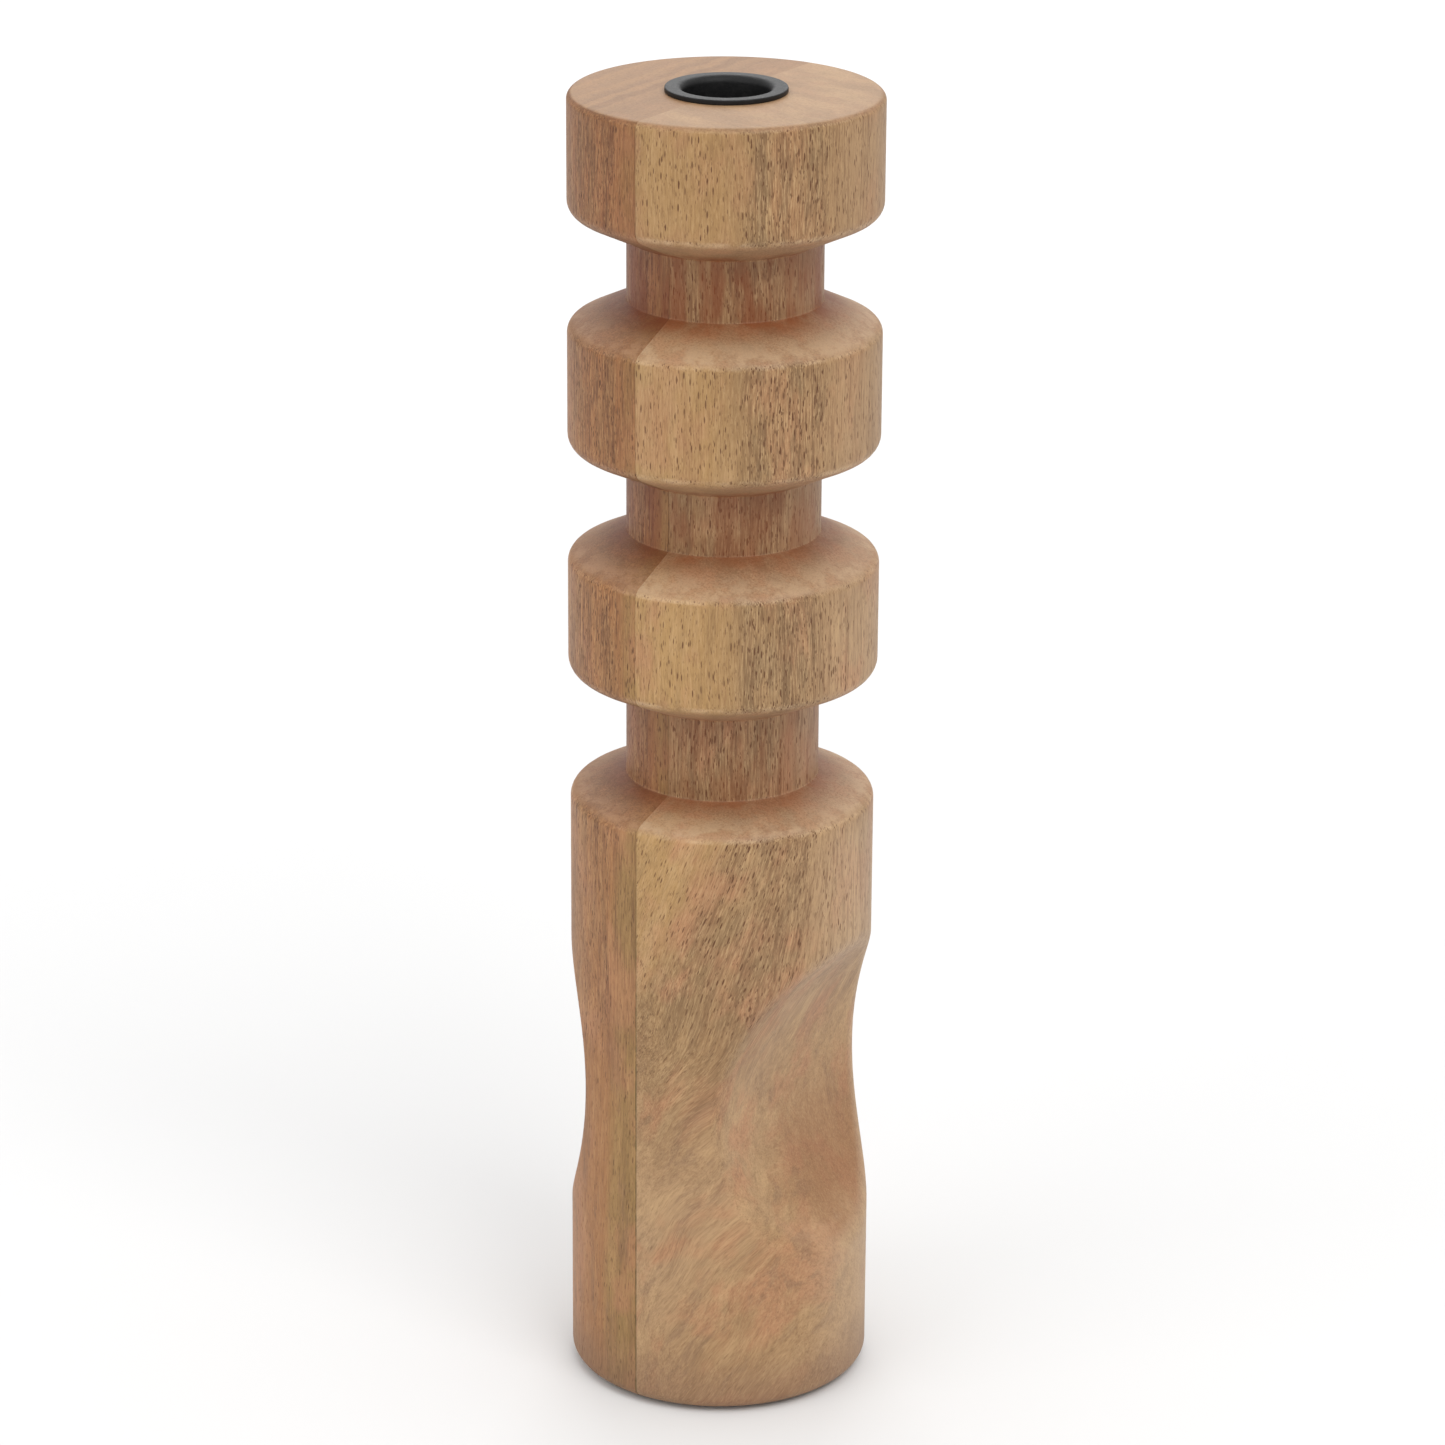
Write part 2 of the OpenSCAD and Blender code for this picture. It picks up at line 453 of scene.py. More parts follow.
# %% The grain's flow
def timber_space(f, seed, leans, sway):
    """The point of the object, and the matching point in straight timber, in millimetres."""
    here = f.point()
    x, y, z = f.parts(here)
    side = x * along_front[0] + y * along_front[1]
    upper_drop = (z - base_top).clamp(LEAN_KNEE - base_top, 0.0) * side.fade(-12.0, 52.0)
    lower_drop = (z - LEAN_KNEE).clamp(-LEAN_KNEE, 0.0)
    shift = upper_drop * leans[0] + lower_drop * leans[1]
    leaned = f.vector("SUBTRACT", here, f.vector("SCALE", f.join(*along_front), shift))
    moved = f.vector("ADD", here, (seed, -seed, 0.5 * seed))
    waves = f.noise(f.vector("MULTIPLY", moved, (0.020, 0.020, 0.015)), 2.0, 0.45, 1)
    waves = f.vector("SUBTRACT", waves, (0.5, 0.5, 0.5))
    amount = sway[0] + z.fade(60.0, 140.0) * (sway[1] - sway[0])
    return here, f.vector("ADD", leaned, f.vector("SCALE", waves, amount))

# %% [markdown]
# ## Pores
# The pores are vessels cut open along their length. A Voronoi pattern, stretched along the
# grain, gives one vessel to each cell. The cell's random colour decides how wide the vessel is
# and leaves some cells empty, so the dashes never line up in rows.

# %% Pores
def pores(w, cell, size, keep):
    """Dark dashes along the grain: 1 inside a pore, 0 in clear wood."""
    cells = w.vector("DIVIDE", w.grain, (cell[0], cell[0], cell[1]))
    distance = w.add("TexVoronoi", None, {"Vector": cells, "Scale": 1.0})
    chance, depth, _ = w.parts(distance.sibling("Color"))
    radius = size * (0.50 + 0.80 * depth)
    inside = (radius - distance) / (0.40 * size)
    return inside.clamp(0.0, 1.0) * chance.fade(keep - 0.05, keep + 0.05)

# %% [markdown]
# ## Where the turner's work changes the wood, and where light is painted
# Sanding doesn't treat every place alike. End grain turns dull, and the roundings of the rims
# are sanded to a paler wood that also carries a painted highlight. The necks and the inner
# parts of the sloping faces are darkened with painted shade, their outer parts are lightened
# with a painted sheen, and the top face is lightened with a painted reflection. The drum leaves
# the scoops smoother than the rest and opens the reddish heart there, one corner is pale
# sapwood, and the foot is darkened with painted shade. Each of these is a mask from the place
# and the direction of the surface, so it holds from every side.

# %% Masks of the work and of painted light
def work_masks(f, x, y, z):
    """Masks, 0 to 1, of what turning and sanding did to the wood's surface, and of painted light.
    """
    normal = f.add("TexCoord", None, None, 1)
    upward = f.parts(normal)[2]
    steep = abs(upward)
    radius = f.add("VectorMath", {"operation": "LENGTH"}, {0: f.join(x, y, 0.0)}, 1)
    in_base = z.fade(base_rim - 8.0, base_rim - 2.0)
    above_base = z.smooth(base_rim, base_rim + 2.0)
    rounding = steep.smooth(0.20, 0.45) * steep.fade(0.50, 0.80)
    scoop = radius.fade(BASE_R - 3.5, BASE_R - 0.8) * in_base
    shoulder = upward.smooth(0.40, 0.90) * z.fade(head_rim - 1.0, head_rim + 1.0)
    return {
        "end_grain": steep.smooth(0.40, 0.90) * (1 - in_base),
        # the top face, which gets a painted reflection
        "top": steep.smooth(0.80, 0.98) * z.smooth(WOOD_TOP - 3.0, WOOD_TOP - 1.0),
        # the rims' roundings: sanding wear and a painted highlight
        "wear_and_highlight": rounding * radius.smooth(34.0, 36.5) * (1 - in_base)
                * (0.30 + 0.70 * z.fade(WOOD_TOP - 9.0, WOOD_TOP - 6.0)),
        # painted shade on the necks and the inner parts of the sloping faces
        "painted_recess_shade": radius.fade(NECK_R, NECK_R + 8.0) * above_base
                * z.fade(head_rim - 1, head_rim + 1) * (0.55 + 0.45 * z.smooth(190.0, 300.0)),
        # painted sheen on the outer parts of the sloping faces
        "painted_shoulder_sheen": shoulder * radius.smooth(29.0, 38.0),
        # painted shade on the inner parts of the sloping faces, under the disc above
        "painted_inner_slope_shade": shoulder * radius.fade(NECK_R, NECK_R + 9.0),
        "scoop": scoop,
        "in_base": in_base,
        "heart": y.smooth(-16.0, 6.0) * z.fade(62.0, 92.0)
                 * radius.fade(BASE_R - 1.8, BASE_R - 0.3) * z.smooth(38.0, 44.0),
        "sap": y.smooth(-18.0, 2.0) * x.smooth(8.0, 20.0) * (0.40 + 0.60 * in_base) * (1 - scoop),
        "low": z.fade(65.0, 135.0),
        # painted shade at the foot, darker towards the bottom
        "painted_foot_shade": z.fade(3.0, 22.0),
    }

# %% [markdown]
# ## Laying the tones
# The tones go on from broad to fine, as they would in a drawing. A small class keeps what all
# the steps share: the timber's coordinates, the masks of the work and the colour so far. Its
# tint method takes that colour towards one named tone by a mask, so each step below reads as a
# list of tints.

# %% The Wood class
class Wood(Finish):
    """A board's finish, with a colour that grows tint by tint."""

    def __init__(self, name, seed, leans, sway, tones):
        super().__init__(name)
        self.tones = tones
        self.here, self.grain = timber_space(self, seed, leans, sway)
        self.gx, self.gy, _ = self.parts(self.grain)
        self.x, y, self.z = self.parts(self.here)
        self.work = work_masks(self, self.x, y, self.z)
        self.speck = self.speckled(1.7, 3.0, 0.7)
        self.mottle = self.speckled(0.14, 5.0, 0.72)

    def grained(self, across, along, detail=2.0, roughness=0.6):
        """Noise drawn out along the grain; across and along are its turns per millimetre."""
        scale = (across, across, along)
        return self.noise(self.vector("MULTIPLY", self.grain, scale), detail, roughness)

    def speckled(self, fineness, detail, roughness):
        """Noise that is the same in every direction."""
        return self.noise(self.vector("SCALE", self.here, fineness), detail, roughness)

    def tint(self, amount, tone):
        """Takes the colour so far towards a named tone."""
        self.color = self.blend(amount, self.color, self.tones[tone])

# %% [markdown]
# ### Growth bands
# A board is a stack of yearly layers. Their broad colours lie on a ramp, read off by how deep a
# point lies in the stack. Between two of them runs a dusky zone, with striped wood behind it.
# Both grow faint low in the base, where the figure turns wild.

# %% Growth bands
def lay_bands(w, bands, band_of, zone_at):
    """Lays the bands. The dusky zone comes, is full, ebbs and is gone at the zone_at places."""
    enter, full, leave, gone = zone_at
    low = w.work["low"]
    w.band = band_of(w, w.grained(0.10, 0.010, 3.0))
    w.color = w.ramp(w.band, bands)
    zone = w.band.smooth(enter, full) * w.band.fade(leave, gone)
    w.zone = zone * (1 - 0.85 * low) * (1 - 0.30 * w.work["in_base"])
    w.striped = w.band.smooth(leave - 0.04, gone) * (1 - 0.80 * low)

# %% [markdown]
# ### Figure
# Over the bands lie cloudy blushes, broad strokes, finer brushed ones and long streaks. The
# heart of the tree shows reddish where the scoop cuts deep, the outer corner of the board is
# paler sapwood, and the foot is darkened with painted shade. The wood darkens slowly towards
# the head.

# %% Figure
def lay_figure(w):
    low = w.work["low"]
    clouds = w.grained(0.060, 0.036, 3.0)
    w.tint(clouds.smooth(0.46, 0.62) * 0.70, "blush")
    strokes = w.grained(0.17, 0.034, 4.0, 0.65)
    w.tint(strokes.fade(0.34, 0.50) * (0.30 + 0.08 * low), "pale")
    w.tint(strokes.smooth(0.52, 0.66) * 0.18, "dusk")
    w.tint(strokes.smooth(0.54, 0.64) * 0.34 * low, "mauve")
    brushed = w.grained(0.60, 0.105, 4.0, 0.72)
    w.tint(brushed.smooth(0.50, 0.64) * (0.12 + 0.08 * low), "dusk")
    w.tint(brushed.fade(0.36, 0.50) * (0.12 + 0.06 * low), "pale")
    w.tint(w.work["heart"] * 0.62, "heart")
    w.tint(w.work["sap"] * 0.50, "sap")
    # Painted shade at the foot, in the mauve tone.
    w.tint(w.work["painted_foot_shade"] * 0.66, "mauve")
    streaks = w.grained(0.38, 0.012, 3.0, 0.60)
    w.tint(streaks.smooth(0.50, 0.62) * (0.10 + 0.26 * w.zone + 0.14 * w.striped), "dark")
    w.tint(w.z.smooth(170.0, 330.0) * 0.50, "high")

# %% [markdown]
# ### Worn rims and painted highlights
# Sandpaper bites hardest on the roundings and leaves them paler, but never evenly, and the pale
# line there is also a painted highlight. Two noises break it up: a slow one for the hand's
# pressure and a quick one for the grit.

# %% Worn rims, with a painted highlight
def lay_rim_wear_and_highlight(w):
    # The pale line is partly sanding wear and partly a painted highlight.
    pressure = w.speckled(0.16, 2.0, 0.6).smooth(0.35, 0.65)
    grit = 0.30 + 0.26 * w.speck.smooth(0.40, 0.60)
    w.tint(w.work["wear_and_highlight"] * pressure * grit, "wear_and_highlight")

# %% [markdown]
# ### Lines and fibres
# Dark and pale lines run along the grain, strongest in the dusky zone, in the striped wood and
# on the necks, which also carry painted shade. The fibres between them are finer than a pencil
# line. They also raise the surface a little, so the function hands them back for the bump.

# %% Lines and fibres
def lay_fibres(w):
    shadow = w.grained(0.24, 0.060, 4.0, 0.65)
    w.tint(w.zone * shadow.smooth(0.40, 0.62) * 0.55, "dusk")
    lines = w.grained(1.45, 0.040)
    lined = 0.10 + 0.38 * w.zone + 0.30 * w.striped + 0.24 * w.work["painted_recess_shade"]
    w.tint(lines.smooth(0.52, 0.64) * lined, "dark")
    w.tint(lines.fade(0.30, 0.44) * (0.10 + 0.20 * w.zone), "pale")
    fibre = w.grained(2.7, 0.24, 3.0, 0.70)
    hairy = (1 - 0.35 * w.work["low"]) * (0.70 + 0.50 * w.zone)
    w.tint(fibre.smooth(0.50, 0.66) * 0.50 * hairy, "dark")
    w.tint(fibre.fade(0.34, 0.50) * 0.42 * hairy, "pale")
    return fibre

# %% [markdown]
# ### Open pores
# Bold and fine vessels are laid together. They crowd in some places and thin out in others, and
# they close up where the wood is sanded smooth or cut across.

# %% Open pores
def lay_pores(w, scale, calm_low):
    work = w.work
    bold = pores(w, (0.68 * scale, 3.7 * scale), 0.28, 0.82)
    fine = pores(w, (0.44 * scale, 2.0 * scale), 0.27, 0.80)
    crowd = 0.72 + 0.42 * w.grained(0.20, 0.030).smooth(0.35, 0.65) + 0.36 * w.zone
    crowd = crowd + 0.30 * work["painted_recess_shade"] - 0.20 * work["in_base"]
    calm = (1 - calm_low * work["low"]) * (1 - 0.60 * work["scoop"])
    calm = calm * (1 - 0.75 * work["end_grain"])
    both = bold * 0.84 + fine * (0.50 + 0.30 * w.zone)
    dashes = (both * crowd * calm).clamp(0.0, 0.94)
    w.tint(dashes, "pore")
    return dashes

# %% [markdown]
# ### End grain
# On the sloping faces and the top the lathe cuts across the fibres. There the wood looks dull,
# mottled and speckled with cut vessel ends, and the flat top shows its yearly layers as arcs.
# The flat top is also lightened towards a paler tone, a painted reflection.

# %% End grain, with a painted reflection on the top
def lay_end_grain(w):
    end_grain, top = w.work["end_grain"], w.work["top"]
    w.tint(end_grain * 0.52, "end")
    w.tint(end_grain * w.mottle.smooth(0.50, 0.62) * 0.30, "blush")
    w.tint(end_grain * w.mottle.fade(0.38, 0.50) * 0.26, "dusk")
    # Painted reflection: the top face is lightened towards the top tone.
    w.tint(top * 0.55, "top")
    arcs = w.noise(w.join(w.band * 9.0, w.gx * 0.03, 0.0), 3.0, 0.6)
    w.tint(top * arcs.smooth(0.46, 0.62) * 0.24, "pale")
    w.tint(top * arcs.fade(0.34, 0.48) * 0.22, "dusk")
    speckle = end_grain * w.speck.smooth(0.46, 0.64) * 0.46
    w.tint(speckle * (1 - 0.5 * top), "dark")

# %% [markdown]
# ### Painted shade and sheen, and the glue line
# The necks and the inner parts of the sloping faces are darkened with painted shade, patchy
# along the grain, and the outer parts of the shoulders are lightened with a painted sheen. The
# glue line is a hair's breadth of olive brown, plainest on the long straight sides of the base.

# %% Painted shade and sheen, and the glue line
def lay_painted_shade_and_sheen(w):
    # Painted shade on the necks and inner slopes, in patches along the grain.
    shade_patchiness = 0.22 + 0.50 * w.grained(0.13, 0.03, 3.0).smooth(0.40, 0.60)
    w.tint(w.work["painted_recess_shade"] * shade_patchiness, "painted_recess_shade")
    # Painted shade on the inner parts of the sloping faces.
    w.tint(w.work["painted_inner_slope_shade"] * (0.22 + 0.20 * w.mottle.smooth(0.40, 0.60)), "painted_recess_shade")
    # Painted sheen on the outer parts of the shoulders.
    w.tint(w.work["painted_shoulder_sheen"] * (0.14 + 0.34 * w.mottle.fade(0.40, 0.58)), "wear_and_highlight")


def lay_glue_line(w):
    patch = w.speckled(0.30, 2.0, 0.5)
    seam = abs(w.x).fade(0.05, 0.34) * (0.14 + 0.56 * w.z.fade(90.0, 168.0))
    seam = seam * (0.5 + 0.8 * patch.smooth(0.35, 0.65)) * (1 - 0.8 * w.work["end_grain"])
    w.tint(seam, "glue")

# %% [markdown]
# ### The whole finish
# All the steps in order, and then the shader. Pores sink, fibres stand up, and the faint rings
# are the turning tool's last pass.

# %% A board's finish
def wood(name, seed, leans, sway, bands, band_of, zone_at, tones, pore_scale, calm_low):
    """A board's material.

    The grain leans by leans (upper, lower) and sways by sway (upper, lower) millimetres.
    band_of gives a point's place along bands, 0 to 1. calm_low closes the pores at the foot.
    """
    w = Wood(name, seed, leans, sway, tones)
    lay_bands(w, bands, band_of, zone_at)
    lay_figure(w)
    lay_rim_wear_and_highlight(w)
    fibre = lay_fibres(w)
    dashes = lay_pores(w, pore_scale, calm_low)
    lay_end_grain(w)
    lay_painted_shade_and_sheen(w)
    lay_glue_line(w)
    rings = w.noise(w.join(0.0, 0.0, w.z * 5.0), 2.0, 0.6)
    height = 1.3 * (1 - dashes) + 0.35 * fibre + 0.12 * rings
    w.surface(
        Base_Color=w.color,
        Roughness=0.44 + 0.14 * fibre + 0.16 * dashes + 0.08 * w.work["end_grain"],
        Normal=w.bump(height, 0.40, 0.00012),
        IOR=1.45,
        Specular_IOR_Level=0.5,
    )
    print(f"{name}: {len(w.tree.nodes)} nodes")
    return w.material

# %% [markdown]
# ### Two boards, two palettes
# The tan board was sawn so that its layers cross the glue line at a slant, and the dusky zone
# shows on its front. The rose board is redder and its layers lie along the glue line.

# %% Tones of the two boards
right_bands = [
    (0.00, paint(178, 140, 88)),
    (0.13, paint(172, 134, 84)),
    (0.20, paint(154, 120, 79)),
    (0.36, paint(150, 116, 79)),
    (0.45, paint(166, 131, 93)),
    (0.56, paint(174, 140, 103)),
    (0.78, paint(164, 128, 88)),
    (1.00, paint(172, 136, 95)),
]
left_bands = [
    (0.00, paint(168, 126, 80)),
    (0.30, paint(168, 120, 73)),
    (0.58, paint(162, 111, 66)),
    (0.78, paint(158, 109, 64)),
    (0.86, paint(152, 117, 68)),
    (1.00, paint(144, 112, 64)),
]
# In both palettes the recess shade tone is painted shade, the top tone a painted reflection, and
# the pale rim tone is sanding wear with a painted highlight, also used as painted sheen.
right_tones = {
    "blush": paint(178, 126, 90), "pale": paint(198, 163, 118), "dusk": paint(116, 92, 62),
    "dark": paint(110, 76, 46), "pore": paint(92, 54, 27), "end": paint(158, 122, 94),
    "heart": paint(140, 92, 58), "glue": paint(84, 72, 36), "high": paint(150, 114, 72),
    "wear_and_highlight": paint(210, 178, 142), "painted_recess_shade": paint(124, 60, 16), "sap": paint(188, 158, 126),
    "mauve": paint(134, 102, 78), "top": paint(167, 134, 100),
}
left_tones = {
    "blush": paint(172, 120, 82), "pale": paint(186, 142, 94), "dusk": paint(116, 82, 48),
    "dark": paint(96, 56, 32), "pore": paint(84, 48, 25), "end": paint(112, 74, 44),
    "heart": paint(150, 104, 68), "glue": paint(84, 72, 36), "high": paint(126, 70, 34),
    "wear_and_highlight": paint(190, 148, 112), "painted_recess_shade": paint(114, 52, 18), "sap": paint(172, 140, 104),
    "mauve": paint(126, 94, 68), "top": paint(167, 134, 100),
}

# %% How deep a point lies in the bands
def right_place(w, wander):
    """Place along the tan board's bands: the layers are square to layer_normal."""
    depth = w.gx * layer_normal[0] + w.gy * layer_normal[1] + (wander - 0.5) * 9.0
    return (depth + DISC_R) / (2 * DISC_R)


def left_place(w, wander):
    """Place along the rose board's bands, from its outside to the glue line."""
    depth = w.gx + (wander - 0.5) * 6.0 + 3.0 * w.z.fade(130.0, 180.0)
    return (depth + DISC_R) / (1.1 * DISC_R)

# %% Both boards' finishes
right_wood = wood(
    "tan board", seed=11.0, leans=(0.36, 0.55), sway=(5.0, 31.0),
    bands=right_bands, band_of=right_place, zone_at=(0.17, 0.23, 0.41, 0.49),
    tones=right_tones, pore_scale=1.0, calm_low=0.70)
left_wood = wood(
    "rose board", seed=47.0, leans=(0.03, 0.03), sway=(3.0, 5.0),
    bands=left_bands, band_of=left_place, zone_at=(0.15, 0.40, 0.72, 0.80),
    tones=left_tones, pore_scale=0.85, calm_low=0.10)

# %% Make both boards
place(board_mesh("right_board", 1), "right_half", right_wood)
place(board_mesh("left_board", -1), "left_half", left_wood)

# %% [markdown]
# ## Spinning the small round pieces
# The cup is a full turn of a closed outline, so a helper spins one about the axis. The screw and
# the pads are stacks of rings whose points don't all lie on a true circle. A second helper joins
# such rings into one skin and closes both ends with a fan.

# %% Spin a closed outline
def spun_mesh(name, points, segments):
    """The solid that a closed outline sweeps out as it turns once about the axis."""
    verts = []
    for r, z in points:
        for k in range(segments):
            t = 2 * math.pi * k / segments
            verts.append((r * math.cos(t), r * math.sin(t), z))
    faces = []
    for row in range(len(points)):
        a = row * segments
        b = (row + 1) % len(points) * segments
        for k in range(segments):
            after = (k + 1) % segments
            faces.append((a + k, a + after, b + after, b + k))
    return new_mesh(name, verts, faces)

# %% Close a stack of rings
def capped_rings(first, rows, segments, bottom, top):
    """Faces of stacked rings of points, closed by a fan to one point at each end."""
    faces = []
    last = first + (rows - 1) * segments
    for k in range(segments):
        after = (k + 1) % segments
        faces.append((bottom, first + after, first + k))
        faces.append((top, last + k, last + after))
        for a in range(first, last, segments):
            faces.append((a + k, a + after, a + segments + after, a + segments + k))
    return faces

# %% [markdown]
# ## The candle cup
# The cup is pressed from sheet steel: a flat floor, a straight tube and a flange, with the
# mouth flared so that a candle slides in. It is powder coated black, which leaves a satin,
# slightly pebbled skin, greyer in patches where dust has settled.

# %% Black powder coat
def powder_coat():
    f = Finish("black powder coat")
    here = f.point()
    pebble = f.noise(f.vector("SCALE", here, 3.2), 3.0, 0.6)
    dust = f.noise(f.vector("SCALE", here, 0.8), 4.0, 0.7)
    color = f.blend(dust.smooth(0.40, 0.75) * 0.6, paint(13, 13, 14), paint(32, 31, 31))
    f.surface(
        Base_Color=color,
        Roughness=0.40 + 0.22 * dust,
        Normal=f.bump(pebble, 0.45, 0.0002),
        IOR=1.45,
        Specular_IOR_Level=0.38,
    )
    return f.material

# %% The cup
FLARE_R = 1.8
FLOOR_CORNER_R = 2.4
FLOOR_HOLE_R = 2.15
cup_floor = CUP_UNDER + CUP_WALL
cup_marks = [
    (FLOOR_HOLE_R, CUP_UNDER, 0),
    (FLOOR_HOLE_R, cup_floor, 0),
    (CUP_BORE_R, cup_floor, FLOOR_CORNER_R),
    (CUP_BORE_R, CUP_TOP, FLARE_R),
    (FLANGE_R, CUP_TOP, 0.3),
    (FLANGE_R, WOOD_TOP, 0.3),
    (CUP_BORE_R + CUP_WALL, WOOD_TOP, 0),
    (CUP_BORE_R + CUP_WALL, CUP_UNDER, FLOOR_CORNER_R + CUP_WALL),
    (FLOOR_HOLE_R + 0.01, CUP_UNDER, 0),
]
cup_points = even_steps(outline(cup_marks, 8.0)[:-1], 2.0)
place(spun_mesh("cup", cup_points, 128), "candle_cup", powder_coat())

# %% [markdown]
# ## The cup's screw
# One pan head wood screw holds the cup down from inside. Its whole skin can be made from rings:
# a cone point, a shank whose radius follows a helix, so that the thread winds up round it, the
# head's rounded rim, and a crown that dips into a cross recess. Rings keep it one closed mesh,
# where a separate thread and a boolean cross would leave seams.

# %% The screw's sizes, in millimetres
SCREW_TOP = screw_high.z / MM
SCREW_END = screw_low.z / MM
SCREW_HEAD_R = screw_high.x / MM
SCREW_HEAD_H = SCREW_TOP - cup_floor
THREAD_R = 1.75
ROOT_R = 1.20
THREAD_PITCH = 1.25
TIP_L = 3.5
SMOOTH_SHANK_L = 2.5
CROSS_W = 1.0
CROSS_L = 4.2
CROSS_DEPTH = 1.1
CROSS_END_SLOPE = 0.35
CROSS_WALL_SLOPE = 0.18
THREAD_SHARPNESS = 3.2
RINGS_PER_TURN = 12
SCREW_SEGMENTS = 96
screw_angles = [2 * math.pi * k / SCREW_SEGMENTS for k in range(SCREW_SEGMENTS)]
print("screw length:", round(SCREW_TOP - SCREW_END, 2))

# %% Thread and cross recess
def thread_radius(z, angle):
    """Radius of the threaded shank at a height and an angle."""
    turns = z / THREAD_PITCH - angle / (2 * math.pi)
    ridge = max(0.0, 1 - THREAD_SHARPNESS * abs(turns - round(turns)))
    rise = min(1.0, (z - SCREW_END) / TIP_L)
    run_out = min(1.0, max(0.0, (cup_floor - SMOOTH_SHANK_L - z) / THREAD_PITCH))
    root = ROOT_R + (THREAD_R - 0.1 - ROOT_R) * (1 - run_out)
    return rise * (root + (THREAD_R - root) * ridge * run_out)


def recess_depth(x, y):
    """How deep the cross recess is at a point of the head."""
    def slot(along, beside):
        ends = (CROSS_L / 2 - abs(along)) / CROSS_END_SLOPE
        walls = (CROSS_W / 2 - abs(beside)) / CROSS_WALL_SLOPE
        return max(0.0, min(1.0, ends, walls))
    return CROSS_DEPTH * max(slot(x, y), slot(y, x))

# %% The screw's skin of rings
def screw_mesh():
    rings = []
    height = SCREW_END + 0.02
    while height < cup_floor:
        rings.append([(thread_radius(height, t), height) for t in screw_angles])
        height += THREAD_PITCH / RINGS_PER_TURN
    rim = outline([(THREAD_R, cup_floor, 0), (SCREW_HEAD_R, cup_floor, 0.15),
                   (SCREW_HEAD_R, SCREW_TOP, SCREW_HEAD_H * 0.6), (0.0, SCREW_TOP, 0)], 9.0)
    for r, z in even_steps(rim, 0.12)[:-1]:
        ring = []
        for t in screw_angles:
            dip = recess_depth(r * math.cos(t), r * math.sin(t)) if z > cup_floor + 1 else 0
            ring.append((r, z - dip))
        rings.append(ring)
    verts = [(r * math.cos(t), r * math.sin(t), z)
             for ring in rings for (r, z), t in zip(ring, screw_angles)]
    tip, crown = len(verts), len(verts) + 1
    verts += [(0, 0, SCREW_END), (0, 0, SCREW_TOP - CROSS_DEPTH)]
    return new_mesh("screw", verts, capped_rings(0, len(rings), SCREW_SEGMENTS, tip, crown))

# %% Zinc plate
def zinc_plate():
    f = Finish("zinc plate")
    here = f.point()
    mottle = f.noise(f.vector("SCALE", here, 1.6), 4.0, 0.6)
    color = f.blend(mottle.smooth(0.35, 0.65), paint(176, 180, 186), paint(138, 142, 148))
    grit = f.noise(f.vector("SCALE", here, 14.0), 2.0, 0.5)
    f.surface(
        Base_Color=color,
        Metallic=1.0,
        Roughness=0.28 + 0.18 * mottle,
        Normal=f.bump(grit, 0.20, 0.00003),
    )
    return f.material


place(screw_mesh(), "cup_screw", zinc_plate())

# %% [markdown]
# ## The felt pads
# Four discs of pressed felt, punched from a sheet, keep the wood off the table. A punched edge is
# never clean: it bulges a little where the felt was squeezed, and fibres stand out of it. So the
# edge is a few rings of points with a small, seeded scatter, and the face that rubs on the table
# is slightly uneven. The hairy look comes from two noises, stretched across each other.

# %% Felt
def felt():
    f = Finish("pressed felt")
    here = f.point()
    curl = f.noise(f.vector("SCALE", here, 0.9), 2.0, 0.5, 1)
    tangled = f.vector("ADD", here, f.vector("SCALE", curl, 3.0))
    hair_a = f.noise(f.vector("MULTIPLY", tangled, (9.0, 1.6, 3.0)), 3.0, 0.7)
    hair_b = f.noise(f.vector("MULTIPLY", tangled, (1.6, 9.0, 3.0)), 3.0, 0.7)
    hair = 0.5 * (hair_a + hair_b)
    color = f.blend(hair.smooth(0.40, 0.62), paint(52, 47, 43), paint(104, 95, 87))
    f.surface(
        Base_Color=color,
        Roughness=0.86 + 0.12 * hair,
        Normal=f.bump(hair, 0.80, 0.0003),
        Sheen_Weight=0.35,
        Sheen_Roughness=0.6,
    )
    return f.material

# %% Punched pads
PAD_SEGMENTS = 72
PAD_RINGS = 9
PAD_FRAY = 0.18
PAD_WEAR = 0.05


def pad_mesh(name, node, seed):
    """A pressed felt disc that fills the box of its CAD node."""
    pad_low, pad_high = (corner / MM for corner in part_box(node))
    centre = (pad_low + pad_high) / 2
    radius = (pad_high.x - pad_low.x) / 2
    thickness = pad_high.z - pad_low.z
    rng = np.random.default_rng(seed)
    flat = [(radius * 0.96 * k / PAD_RINGS, 0.0) for k in range(PAD_RINGS + 1)]
    edge = [(radius * 0.99, 0.12), (radius, 0.34), (radius, 0.66), (radius * 0.99, 0.90)]
    profile = flat + edge + [(r, 1.0) for r, _ in reversed(flat)]
    verts = []
    for r, share in profile:
        if r == 0.0:
            verts.append((centre.x, centre.y, pad_low.z + share * thickness))
            continue
        at_edge = r > radius * 0.97
        for k in range(PAD_SEGMENTS):
            t = 2 * math.pi * k / PAD_SEGMENTS
            shrink = PAD_FRAY * rng.random() if at_edge else 0.0
            dent = PAD_WEAR * rng.random() if share == 0.0 and not at_edge else 0.0
            verts.append((centre.x + (r - shrink) * math.cos(t),
                          centre.y + (r - shrink) * math.sin(t),
                          pad_low.z + share * thickness + dent))
    faces = capped_rings(1, len(profile) - 2, PAD_SEGMENTS, 0, len(verts) - 1)
    return new_mesh(name, verts, faces)


felt_finish = felt()
for number in (1, 2, 3, 4):
    pad_node = f"felt_pad_{number}"
    place(pad_mesh(f"pad_{number}", pad_node, number), pad_node, felt_finish)

